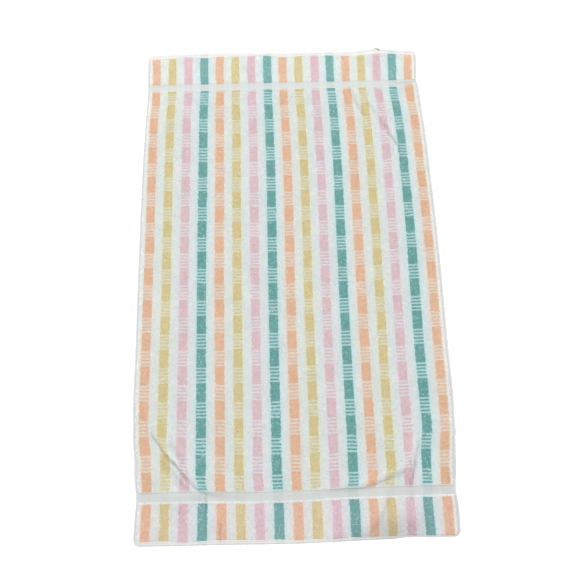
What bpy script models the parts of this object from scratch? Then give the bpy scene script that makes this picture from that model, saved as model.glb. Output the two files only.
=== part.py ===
# Bath towel lying open: one terry panel with its hems, borders, flat-woven bands and creases.
# Cloth places are (across, down): metres from the middle stripe, and down from the first block's top.
# The towel lies on z = 0, with its top hem towards +Y and the good side up.

import math
from collections import namedtuple

import bmesh
import bpy
from mathutils import Vector
from mathutils.geometry import delaunay_2d_cdt

MM = 0.001

# Driving sizes, metres
STRIPE_PITCH = 36 * MM        # one coloured stripe and the white one beside it
BLOCK_PERIOD = 69 * MM        # one solid block and one ladder block
STRIPES = 17
SIDE_MARGIN = 23 * MM         # from the middle of an outer stripe to the side edge
SIDE_HEM = 8 * MM             # turned selvedge at each side
CORNER_RADIUS = 11 * MM
EDGE_ROUNDING = 1.1 * MM      # how far the rim of each face draws in from the edge

PILE = 4.0 * MM               # thickness of terry, loops on both faces
FLAT = 1.8 * MM               # thickness of the flat-woven bands
HEM = 3.2 * MM                # thickness of a turned hem
STEP = 1.6 * MM               # width over which one thickness becomes the next

# Mesh spacing
PLAIN_SPACING = 22 * MM
CREASE_SPACING = 10 * MM
RIM_SPACING = 14 * MM
CREASE_GAP = 4.5 * MM         # least distance between two points of a crease
CREASE_CLEARANCE = 8 * MM     # plain points keep this far from a crease's points
STEP_CLEARANCE = 4 * MM       # and a crease's points this far from a step
RIM_CLEARANCE = 9 * MM

# From the top edge down. The body starts a little above the first block.
Section = namedtuple("Section", "name length thickness")
SECTIONS = (
    Section("top hem", 8.0 * MM, HEM),
    Section("top border", 70.5 * MM, PILE),
    Section("top band", 16.0 * MM, FLAT),
    Section("body", 871.0 * MM, PILE),
    Section("bottom band", 15.0 * MM, FLAT),
    Section("bottom border", 65.0 * MM, PILE),
    Section("bottom hem", 9.0 * MM, HEM),
)
BODY_START = -6.0 * MM

# How far the cloth lies to the right of its flat place, mm, at seven places across.
# The rows go by periods down. The bands are drawn in, and the two ends lie narrower.
Drift = namedtuple("Drift", "down left_edge stripe_0 stripe_3 stripe_8 stripe_13 stripe_16 right_edge")
DRIFT = (
    Drift(-1.40, 8.5, 5.0, 3.2, -0.7, -4.3, -6.5, -10.8),
    Drift(-0.75, 8.3, 6.1, 2.9, -0.4, -5.0, -8.3, -11.9),
    Drift(-0.20, 9.7, 5.2, 4.3, 0.4, -5.8, -9.4, -14.6),
    Drift(0.25, 9.0, 4.7, 3.4, 0.0, -3.4, -8.4, -10.3),
    Drift(0.75, 7.6, 1.6, 2.0, 1.1, -1.4, -4.3, -8.6),
    Drift(1.50, 5.4, 0.2, 1.8, 1.6, 0.6, -1.6, -5.4),
    Drift(3.00, 3.0, 0.2, 2.0, 2.4, 1.4, 0.4, -2.4),
    Drift(5.50, 1.4, -0.6, 0.6, 1.6, 1.6, 4.2, 0.4),
    Drift(8.50, 1.0, -1.8, 0.2, 1.2, 1.4, 3.0, 0.2),
    Drift(10.60, 0.8, -1.0, 0.2, 2.0, 1.8, 2.6, -1.0),
    Drift(12.10, 2.4, 0.4, 0.0, 1.4, 1.4, 0.8, -0.8),
    Drift(12.60, 4.8, 0.8, 0.6, 2.0, 0.8, 0.8, -4.2),
    Drift(13.80, 2.2, -0.2, 1.2, 2.4, -0.6, 0.4, -2.4),
)

# How far each end hem lies beyond its straight line, mm, by stripe across.
EndWave = namedtuple("EndWave", "stripe top bottom")
END_WAVES = (
    EndWave(-0.6, -2.0, 4.5),
    EndWave(1.2, 0.0, 5.0),
    EndWave(3.0, 2.0, 2.5),
    EndWave(6.0, 0.0, 1.0),
    EndWave(9.0, -1.0, 0.5),
    EndWave(12.2, -1.0, -1.0),
    EndWave(13.2, 3.0, -1.5),
    EndWave(14.0, 5.5, -1.5),
    EndWave(15.0, 1.0, -0.5),
    EndWave(16.6, -2.0, 0.0),
)
WAVE_REACH = 55 * MM          # how far into the towel an end's wave is felt

# Ridges, each along (stripe, period) points. The steep side is on the right hand of the path,
# and the cloth beyond it is pulled in by the ridge (right and up, mm).
Ridge = namedtuple("Ridge", "name height gentle steep fade_in fade_out pull path")
RIDGES = (
    Ridge("lower left", 7.0 * MM, 42 * MM, 11 * MM, 0.30, 0.45, (7.0, 4.0),
          ((-0.4, 10.55), (0.6, 11.08), (1.4, 11.58), (2.4, 12.08), (3.6, 12.38), (5.2, 12.48),
           (7.0, 12.5))),
    Ridge("lower right", 6.0 * MM, 40 * MM, 12 * MM, 0.35, 0.25, (-7.0, 3.0),
          ((9.8, 12.5), (11.5, 12.42), (12.7, 12.28), (13.6, 12.05), (14.25, 11.7), (14.6, 11.25),
           (14.75, 10.7))),
    Ridge("lower right spur", 3.5 * MM, 12 * MM, 8 * MM, 0.25, 0.35, (0.0, 0.0),
          ((14.22, 11.75), (14.2, 12.15), (14.28, 12.6), (14.4, 13.0))),
    Ridge("upper right", 4.0 * MM, 34 * MM, 13 * MM, 0.20, 0.40, (0.0, 0.0),
          ((11.9, -0.25), (12.55, 0.3), (13.3, 0.8), (14.1, 1.35), (14.7, 2.0), (15.0, 2.9))),
    Ridge("upper middle", 2.6 * MM, 20 * MM, 12 * MM, 0.30, 0.50, (0.0, 0.0),
          ((10.35, -0.1), (10.45, 0.5), (10.7, 1.2))),
)

# Low rounded swells, by the stripe and period of their middle.
Swell = namedtuple("Swell", "name height stripe period half_across half_down")
SWELLS = (
    Swell("bottom right border", 5.0 * MM, 13.7, 13.05, 82 * MM, 36 * MM),
    Swell("bottom right corner", 3.0 * MM, 16.2, 12.5, 30 * MM, 60 * MM),
    Swell("bottom left border", 3.0 * MM, 1.6, 12.75, 70 * MM, 34 * MM),
    Swell("bottom middle border", 2.0 * MM, 8.6, 13.2, 60 * MM, 30 * MM),
    Swell("top right hem", 2.5 * MM, 14.1, -1.38, 40 * MM, 26 * MM),
)

COTTON_COLOUR = (0.83, 0.80, 0.76, 1.0)

# Sizes that follow from those above
MIDDLE_STRIPE = (STRIPES - 1) / 2
HALF_WIDTH = MIDDLE_STRIPE * STRIPE_PITCH + SIDE_MARGIN
TOP_EDGE = BODY_START - sum(section.length for section in SECTIONS[:3])
BOTTOM_EDGE = TOP_EDGE + sum(section.length for section in SECTIONS)


def across_of(stripe):
    return (stripe - MIDDLE_STRIPE) * STRIPE_PITCH


def smooth(value):
    """0 below 0, 1 above 1, and a smooth step between."""
    value = min(max(value, 0.0), 1.0)
    return value * value * (3 - 2 * value)


def hump(value):
    """1 at 0, falling on a cosine to 0 at 1."""
    return 0.5 + 0.5 * math.cos(math.pi * min(abs(value), 1.0))


def between(places, values, at):
    """The value at a place, on a smooth curve through the listed ones."""
    if at <= places[0]:
        return values[0]
    if at >= places[-1]:
        return values[-1]
    last = len(places) - 1
    k = next(k for k in range(last) if at < places[k + 1])
    gap = places[k + 1] - places[k]

    def slope(i):
        low, high = max(i - 1, 0), min(i + 1, last)
        return (values[high] - values[low]) / (places[high] - places[low]) * gap

    t = (at - places[k]) / gap
    start = values[k] + t * slope(k)
    end = values[k + 1] - (1 - t) * slope(k + 1)
    return start + (end - start) * smooth(t)


def section_starts():
    starts = [TOP_EDGE]
    for section in SECTIONS[:-1]:
        starts.append(starts[-1] + section.length)
    return starts


SECTION_STARTS = section_starts()


def thickness_at(across, down):
    thick = SECTIONS[0].thickness
    for start, before, after in zip(SECTION_STARTS[1:], SECTIONS, SECTIONS[1:]):
        share = smooth((down - start) / STEP + 0.5)
        thick += (after.thickness - before.thickness) * share
    hem_share = smooth((abs(across) - HALF_WIDTH + SIDE_HEM) / STEP + 0.5)
    return thick + (min(thick, HEM) - thick) * hem_share


def curve_through(points, spacing):
    """Points about this far apart on a smooth curve through the given ones."""
    curve = []
    ends = [2 * points[0] - points[1], *points, 2 * points[-1] - points[-2]]
    for before, start, end, after in zip(ends, ends[1:], ends[2:], ends[3:]):
        steps = max(2, round((end - start).length / spacing))
        for k in range(steps):
            t = k / steps
            bend = 2 * before - 5 * start + 4 * end - after
            twist = 3 * start - before - 3 * end + after
            curve.append(start + 0.5 * ((end - before) * t + bend * t ** 2 + twist * t ** 3))
    curve.append(points[-1])
    return curve


def ridge_curve(ridge):
    """The crest on the flat cloth, as (across, -down) points."""
    points = [Vector((across_of(stripe), -period * BLOCK_PERIOD)) for stripe, period in ridge.path]
    return curve_through(points, CREASE_SPACING)


RIDGE_CURVES = {ridge.name: ridge_curve(ridge) for ridge in RIDGES}


def along_ridge(ridge, across, down):
    """Signed distance from the crest, positive on the steep side, and the share of the way along it."""
    curve = RIDGE_CURVES[ridge.name]
    place = Vector((across, -down))
    nearest, side, share = 1e9, 1, 0.0
    for k, (start, end) in enumerate(zip(curve, curve[1:])):
        run = end - start
        t = min(max((place - start).dot(run) / run.length_squared, 0.0), 1.0)
        offset = place - start - run * t
        if offset.length < nearest:
            nearest = offset.length
            side = -1 if run.x * offset.y - run.y * offset.x > 0 else 1
            share = (k + t) / (len(curve) - 1)
    return side * nearest, share


def ridge_strength(ridge, share):
    return smooth(share / ridge.fade_in) * smooth((1 - share) / ridge.fade_out)


def height_at(across, down):
    """How far the cloth is lifted off the surface by its ridges and swells."""
    height = 0.0
    for ridge in RIDGES:
        distance, share = along_ridge(ridge, across, down)
        width = ridge.steep if distance > 0 else ridge.gentle
        height = max(height, ridge.height * ridge_strength(ridge, share) * hump(distance / width))
    for swell in SWELLS:
        far = math.hypot((across - across_of(swell.stripe)) / swell.half_across,
                         (down - swell.period * BLOCK_PERIOD) / swell.half_down)
        height = max(height, swell.height * hump(far))
    return height


def drift_at(across, down):
    """How far the cloth lies to the right of its flat place."""
    places = [-HALF_WIDTH, *(across_of(stripe) for stripe in (0, 3, 8, 13, 16)), HALF_WIDTH]
    rows = [row.down * BLOCK_PERIOD for row in DRIFT]
    here = [between(rows, [row[k + 1] for row in DRIFT], down) for k in range(len(places))]
    return between(places, here, across) * MM


def wave_at(across, down):
    """How far the ends' waves move the cloth towards +Y."""
    places = [across_of(wave.stripe) for wave in END_WAVES]
    top = between(places, [wave.top for wave in END_WAVES], across)
    bottom = between(places, [wave.bottom for wave in END_WAVES], across)
    near_top = 1 - smooth((down - TOP_EDGE) / WAVE_REACH)
    near_bottom = 1 - smooth((BOTTOM_EDGE - down) / WAVE_REACH)
    return (top * near_top - bottom * near_bottom) * MM


def laid(across, down):
    """Where a place on the cloth's underside lies, with the middle stripe and period at x = 0, y = 0."""
    place = Vector((across + drift_at(across, down), -down + wave_at(across, down), height_at(across, down)))
    for ridge in RIDGES:
        if any(ridge.pull):
            distance, share = along_ridge(ridge, across, down)
            beyond = smooth((distance + ridge.gentle / 2) / (ridge.gentle / 2 + ridge.steep))
            strength = beyond * ridge_strength(ridge, share) * MM
            place += Vector((ridge.pull[0] * strength, ridge.pull[1] * strength, 0))
    return place


def evenly(start, end, spacing):
    steps = max(1, math.ceil((end - start) / spacing))
    return [start + (end - start) * k / steps for k in range(steps + 1)]


def rim_places():
    """The cloth's edge on the flat cloth, anticlockwise from above, with rounded corners."""
    left, right = -HALF_WIDTH + CORNER_RADIUS, HALF_WIDTH - CORNER_RADIUS
    low, high = -BOTTOM_EDGE + CORNER_RADIUS, -TOP_EDGE - CORNER_RADIUS
    rim = []
    corners = ((left, low, 180), (right, low, 270), (right, high, 0), (left, high, 90))
    for k, (x, y, first_angle) in enumerate(corners):
        for angle in (0, 30, 60, 90):
            turn = math.radians(first_angle + angle)
            rim.append(Vector((x + CORNER_RADIUS * math.cos(turn), y + CORNER_RADIUS * math.sin(turn))))
        next_x, next_y, next_angle = corners[(k + 1) % 4]
        turn = math.radians(next_angle)
        goal = Vector((next_x + CORNER_RADIUS * math.cos(turn), next_y + CORNER_RADIUS * math.sin(turn)))
        run = goal - rim[-1]
        shares = evenly(0, 1, RIM_SPACING / run.length)[1:-1]
        rim.extend([rim[-1] + run * share for share in shares])
    return rim


def columns_across(spacing):
    """Places across the cloth, with a pair for the step at each side hem."""
    inner = HALF_WIDTH - SIDE_HEM - STEP / 2
    return [-inner - STEP, *evenly(-inner, inner, spacing), inner + STEP]


def step_rows():
    """A row of points on each side of every step from one section to the next."""
    columns = columns_across(CREASE_SPACING)
    downs = [start + side * STEP / 2 for start in SECTION_STARTS[1:] for side in (-1, 1)]
    return [[Vector((column, -down)) for column in columns] for down in downs]


def plain_places():
    """Even rows of points within each section."""
    places = []
    for start, section in zip(SECTION_STARTS, SECTIONS):
        rows = evenly(start, start + section.length, PLAIN_SPACING)[1:-1] or [start + section.length / 2]
        places.extend(Vector((column, -row)) for row in rows for column in columns_across(PLAIN_SPACING))
    return places


def crease_places():
    """Rows of points along each ridge, closer on its steep side."""
    places = []
    for ridge in RIDGES:
        offsets = [-ridge.gentle * share for share in (1.0, 0.7, 0.45, 0.22)]
        offsets += [ridge.steep * share for share in (0.0, 0.5, 1.0)]
        curve = RIDGE_CURVES[ridge.name]
        for k, place in enumerate(curve):
            run = curve[min(k + 1, len(curve) - 1)] - curve[max(k - 1, 0)]
            right_hand = Vector((run.y, -run.x)).normalized()
            places.extend(place + right_hand * offset for offset in offsets)
    return places


def well_inside(place):
    inside_ends = TOP_EDGE + RIM_CLEARANCE < -place.y < BOTTOM_EDGE - RIM_CLEARANCE
    return inside_ends and abs(place.x) < HALF_WIDTH - RIM_CLEARANCE


def clear_of_steps(place):
    return all(abs(-place.y - start) > STEP_CLEARANCE for start in SECTION_STARTS[1:])


def spaced(places, others, gap):
    """Those places that are this far from each other and from the others."""
    cells = {}

    def cell(place):
        return math.floor(place.x / gap), math.floor(place.y / gap)

    def add(place):
        cells.setdefault(cell(place), []).append(place)

    for place in others:
        add(place)
    found = []
    for place in places:
        x, y = cell(place)
        around = [(x + i, y + j) for i in (-1, 0, 1) for j in (-1, 0, 1)]
        near = [other for key in around for other in cells.get(key, ())]
        if all((place - other).length >= gap for other in near):
            found.append(place)
            add(place)
    return found


def cloth_mesh():
    """The flat cloth's points and triangles. The rim comes first, and no triangle crosses a step row."""
    rim = rim_places()
    places = list(rim)
    step_edges = []
    for row in step_rows():
        first = len(places)
        places.extend(row)
        step_edges.extend((k, k + 1) for k in range(first, len(places) - 1))
    creases = [place for place in crease_places() if well_inside(place) and clear_of_steps(place)]
    creases = spaced(creases, places, CREASE_GAP)
    places.extend(creases)
    places.extend(spaced(plain_places(), creases, CREASE_CLEARANCE))
    flat, _, triangles, *_ = delaunay_2d_cdt(places, step_edges, [list(range(len(rim)))], 1, 1e-7)
    return rim, flat, triangles


def make_towel():
    rim, places, triangles = cloth_mesh()
    shape = bmesh.new()
    tops, undersides = [], []
    centre_pull = [1 - EDGE_ROUNDING / HALF_WIDTH, 1 - 2 * EDGE_ROUNDING / (BOTTOM_EDGE - TOP_EDGE)]
    middle = -(TOP_EDGE + BOTTOM_EDGE) / 2
    for k, flat in enumerate(places):
        across, down = flat.x, -flat.y
        thick = thickness_at(across, down)
        if k < len(rim):
            across *= centre_pull[0]
            down = -(middle + (flat.y - middle) * centre_pull[1])
        place = laid(across, down)
        undersides.append(shape.verts.new(place))
        tops.append(shape.verts.new(place + Vector((0, 0, thick))))

    for a, b, c in triangles:
        shape.faces.new((tops[a], tops[b], tops[c]))
        shape.faces.new((undersides[c], undersides[b], undersides[a]))

    edge = []
    for flat in rim:
        lift = Vector((0, 0, thickness_at(flat.x, -flat.y) / 2))
        edge.append(shape.verts.new(laid(flat.x, -flat.y) + lift))
    for k in range(len(rim)):
        after = (k + 1) % len(rim)
        shape.faces.new((tops[k], edge[k], edge[after], tops[after]))
        shape.faces.new((undersides[after], edge[after], edge[k], undersides[k]))

    bmesh.ops.triangulate(shape, faces=shape.faces)
    bmesh.ops.recalc_face_normals(shape, faces=shape.faces)
    centre_on_origin(shape)
    mesh = bpy.data.meshes.new("bath_towel")
    shape.to_mesh(mesh)
    shape.free()
    mesh.shade_smooth()
    mesh.set_sharp_from_angle(angle=math.radians(50))
    towel = bpy.data.objects.new("bath_towel", mesh)
    bpy.context.scene.collection.objects.link(towel)
    mesh.materials.append(cotton())
    return towel


def centre_on_origin(shape):
    """The middle of the towel's outline goes to x = 0, y = 0."""
    xs = [vert.co.x for vert in shape.verts]
    ys = [vert.co.y for vert in shape.verts]
    middle = Vector(((min(xs) + max(xs)) / 2, (min(ys) + max(ys)) / 2, 0))
    bmesh.ops.translate(shape, verts=shape.verts, vec=-middle)


def cotton():
    material = bpy.data.materials.new("cotton_terry")
    material.use_nodes = True
    shader = material.node_tree.nodes["Principled BSDF"]
    shader.inputs["Base Color"].default_value = COTTON_COLOUR
    shader.inputs["Roughness"].default_value = 0.95
    shader.inputs["Metallic"].default_value = 0.0
    return material


for thing in list(bpy.data.objects):
    bpy.data.objects.remove(thing, do_unlink=True)
make_towel()
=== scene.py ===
# Striped terry bath towel, laid open on a pale floor under soft light.
# Cloth places are (across, down): metres from the middle stripe, and down from the first block's top.
import math
from functools import partial

import bmesh
import bpy
import numpy as np
from mathutils import Euler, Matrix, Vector


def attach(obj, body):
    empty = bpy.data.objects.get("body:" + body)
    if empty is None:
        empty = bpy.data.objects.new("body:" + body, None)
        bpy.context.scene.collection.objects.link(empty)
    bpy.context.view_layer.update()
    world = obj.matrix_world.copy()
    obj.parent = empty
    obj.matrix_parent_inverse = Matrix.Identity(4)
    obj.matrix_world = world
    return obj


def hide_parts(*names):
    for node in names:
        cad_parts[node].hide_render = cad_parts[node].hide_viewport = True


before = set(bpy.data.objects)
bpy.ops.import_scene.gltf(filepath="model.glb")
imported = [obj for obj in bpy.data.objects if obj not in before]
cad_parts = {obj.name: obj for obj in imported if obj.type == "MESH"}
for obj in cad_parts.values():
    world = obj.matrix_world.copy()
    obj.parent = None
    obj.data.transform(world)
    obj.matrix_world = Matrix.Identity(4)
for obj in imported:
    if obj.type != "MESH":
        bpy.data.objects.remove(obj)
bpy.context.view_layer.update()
scene = bpy.context.scene
mm = 0.001


# Camera, floor and light

studio = {
    "cameraPlace": (-0.02047, -0.52667, 1.49435),
    "cameraTurn": (18.0647, -0.2344, -1.6585),
    "lens": 47.819,
    "lampPlace": (-0.8, 2.0, 3.9),
    "lampAim": (0.0, 0.0, 0.0),
    "lampSize": (2.6, 1.8),
    "lampPower": 150.0,
    "skyStrength": 0.70,
    "skyColour": (0.985, 0.99, 1.0),
    "floorColour": (0.93, 0.93, 0.93),
    "floorGlow": 0.36,            # the floor glows a little, so that shadows on it stay faint
    "floorDrop": 0.15 * mm,       # just below the cloth
    "floorReach": 60.0,           # so far that low views show no edge
}


def makeCamera():
    lens = bpy.data.cameras.new("photoCamera")
    lens.sensor_width = 36.0
    lens.lens = studio["lens"]
    camera = bpy.data.objects.new("photoCamera", lens)
    camera.location = studio["cameraPlace"]
    camera.rotation_euler = Euler([math.radians(turn) for turn in studio["cameraTurn"]])
    scene.collection.objects.link(camera)
    scene.camera = camera


def makeLight():
    lamp = bpy.data.lights.new("softWindow", "AREA")
    lamp.shape = "RECTANGLE"
    lamp.size, lamp.size_y = studio["lampSize"]
    lamp.energy = studio["lampPower"]
    window = bpy.data.objects.new("softWindow", lamp)
    window.location = studio["lampPlace"]
    aim = Vector(studio["lampAim"]) - window.location
    window.rotation_euler = aim.to_track_quat("-Z", "Y").to_euler()
    scene.collection.objects.link(window)
    sky = bpy.data.worlds.new("paleRoom")
    sky.use_nodes = True
    background = sky.node_tree.nodes["Background"]
    background.inputs["Color"].default_value = (*studio["skyColour"], 1.0)
    background.inputs["Strength"].default_value = studio["skyStrength"]
    scene.world = sky
    scene.view_settings.view_transform = "Standard"


makeCamera()
makeLight()
print("camera and light are in place")


# The cloth and how it lies

cloth = {
    "stripePitch": 36 * mm,
    "blockPeriod": 69 * mm,
    "middleStripe": 8,
    "halfWidth": 8 * 36 * mm + 23 * mm,     # to the outer stripe's middle, and on to the edge
    "cornerRadius": 11 * mm,
    "pileGround": 2.4 * mm,       # the woven ground under the loops
    "flat": 1.8 * mm,             # the flat-woven bands
    "step": 1.6 * mm,             # how far the change from one to the other takes
    "bodyStart": -6 * mm,
    "waveReach": 55 * mm,         # how far the waves of the ends reach into the cloth
    "flatSize": (0.62, 1.06),
    # name, length, kind of cloth, from the top edge down
    "sections": (
        ("topHem", 8.0 * mm, "hem"),
        ("topBorder", 70.5 * mm, "pile"),
        ("topBand", 16.0 * mm, "flat"),
        ("body", 868.6 * mm, "pile"),
        ("bottomBand", 16.9 * mm, "flat"),
        ("bottomBorder", 65.5 * mm, "pile"),
        ("bottomHem", 9.0 * mm, "hem"),
    ),
    # periods down, then mm to the right of the flat place: at the left edge, these stripes, the right edge
    "driftStripes": (0, 3, 8, 13, 16),
    "drift": (
        (-1.40, 8.5, 5.0, 3.2, -0.7, -4.3, -6.5, -10.8),
        (-0.75, 8.3, 6.1, 2.9, -0.4, -5.0, -8.3, -11.9),
        (-0.20, 9.7, 5.2, 4.3, 0.4, -5.8, -9.4, -14.6),
        (0.25, 9.0, 4.7, 3.4, 0.0, -3.4, -8.4, -10.3),
        (0.75, 7.6, 1.6, 2.0, 1.1, -1.4, -4.3, -8.6),
        (1.50, 5.4, 0.2, 1.8, 1.6, 0.6, -1.6, -5.4),
        (3.00, 3.0, 0.2, 2.0, 2.4, 1.4, 0.4, -2.4),
        (5.50, 1.4, -0.6, 0.6, 1.6, 1.6, 4.2, 0.4),
        (8.50, 1.0, -1.8, 0.2, 1.2, 1.4, 3.0, 0.2),
        (10.05, -0.1, -1.1, 0.2, 1.8, 1.7, 2.7, 1.1),
        (10.60, 1.4, -1.0, 0.2, 2.0, 1.8, 2.6, -0.6),
        (11.45, 1.6, -0.3, 0.1, 1.8, 1.6, 1.6, 0.2),
        (12.10, 0.4, 0.4, 0.0, 1.4, 1.4, 0.8, -1.0),
        (12.60, 4.6, 0.8, 0.6, 2.0, 0.8, 0.8, -4.2),
        (13.05, 3.4, 0.4, 0.8, 2.2, 0.2, 0.8, -1.6),
        (13.80, 1.4, -0.2, 1.2, 2.4, -0.6, 0.4, -2.6),
    ),
    # stripe, then mm that the top and bottom hems lie beyond their straight lines
    "endWaves": (
        (-0.6, -1.0, 1.8), (1.2, 1.6, 2.4), (3.0, 2.4, 1.8), (6.0, 1.2, 0.9), (9.0, -0.6, 1.7),
        (11.0, -0.6, 2.4), (12.2, -0.6, 1.5), (13.2, 3.0, 0.8), (14.0, 5.2, -1.2), (15.0, 1.2, 0.4),
        (16.6, -2.0, 0.4),
    ),
    # stripes, then by periods down how far the stripes lie to the right of the cloth's own lines there, mm
    "stripeDrift": (
        (0, 1, 3, 5, 7, 8, 9, 10, 11, 12, 13, 14, 15, 16),
        (-1.30, -2.1, -1.2, 0.1, -0.3, 0.6, -0.4, -0.6, 0.8, -0.7, 0.3, 0.2, -0.1, -0.3, 2.9),
        (-0.40, -0.7, -0.4, -0.2, -1.8, -0.6, -1.2, -1.0, 0.9, -0.6, 0.0, -0.2, -0.9, -1.1, 0.6),
        (1.00, 0.2, 1.1, -0.1, -0.4, 0.2, -0.4, -0.6, -0.3, -0.2, -0.4, -0.3, 0.0, -1.0, 0.2),
        (3.50, -0.1, -0.2, -0.6, -1.0, 0.4, 0.6, 0.6, 0.4, 0.6, 0.4, 1.0, 0.6, 0.8, 0.6),
        (7.50, 0.2, 1.1, 0.1, 0.3, 0.2, 0.3, 0.2, 0.3, 0.1, 0.3, 0.7, -1.1, -0.8, 0.4),
        (11.40, -1.4, -1.5, 0.9, 0.3, -0.5, -0.4, 0.3, -0.1, 0.0, 0.6, -0.5, 0.7, 2.1, 1.5),
        (12.20, -0.6, -0.7, 0.9, 1.0, 0.7, 0.3, -0.3, 0.4, 0.4, 2.1, 2.2, 3.4, 2.4, 0.5),
        (12.90, 0.8, -0.3, -0.9, 0.7, 1.1, 1.1, 1.4, 6.1, 6.0, 6.8, 3.6, 2.9, 0.0, 1.1),
        (13.60, -0.7, -1.0, -1.3, 0.6, 1.2, 1.0, 2.2, 6.6, 7.1, 6.6, 4.2, 4.2, 1.7, 1.4),
    ),
    # stripes, then by periods down how many periods a block lies below its even place there
    "blockShift": (
        (0, 3, 5, 7, 9, 11, 13, 14.5, 16),
        (0.30, -0.090, -0.045, -0.040, -0.020, 0.005, 0.037, 0.012, -0.040, -0.033),
        (1.30, -0.089, -0.065, -0.010, -0.015, -0.038, -0.022, -0.045, -0.010, -0.030),
        (2.30, -0.058, -0.026, -0.012, -0.022, -0.013, 0.000, 0.005, -0.020, -0.040),
        (3.50, -0.054, -0.015, 0.018, 0.034, 0.012, 0.022, 0.010, -0.012, -0.031),
        (5.30, -0.044, -0.021, 0.018, 0.026, 0.020, 0.026, 0.012, -0.001, -0.021),
        (7.50, -0.043, -0.017, 0.003, 0.009, 0.003, 0.003, 0.006, -0.003, -0.014),
        (9.50, -0.051, -0.026, -0.002, 0.006, -0.009, -0.010, 0.000, 0.001, -0.004),
        (11.30, -0.044, -0.021, 0.000, 0.013, -0.008, 0.010, 0.021, 0.012, 0.012),
        (12.40, -0.012, 0.018, 0.018, 0.014, 0.000, 0.003, 0.010, 0.008, 0.008),
    ),
}
cloth["topEdge"] = cloth["bodyStart"] - sum(length for _, length, _ in cloth["sections"][:3])
cloth["bottomEdge"] = cloth["topEdge"] + sum(length for _, length, _ in cloth["sections"])

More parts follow.
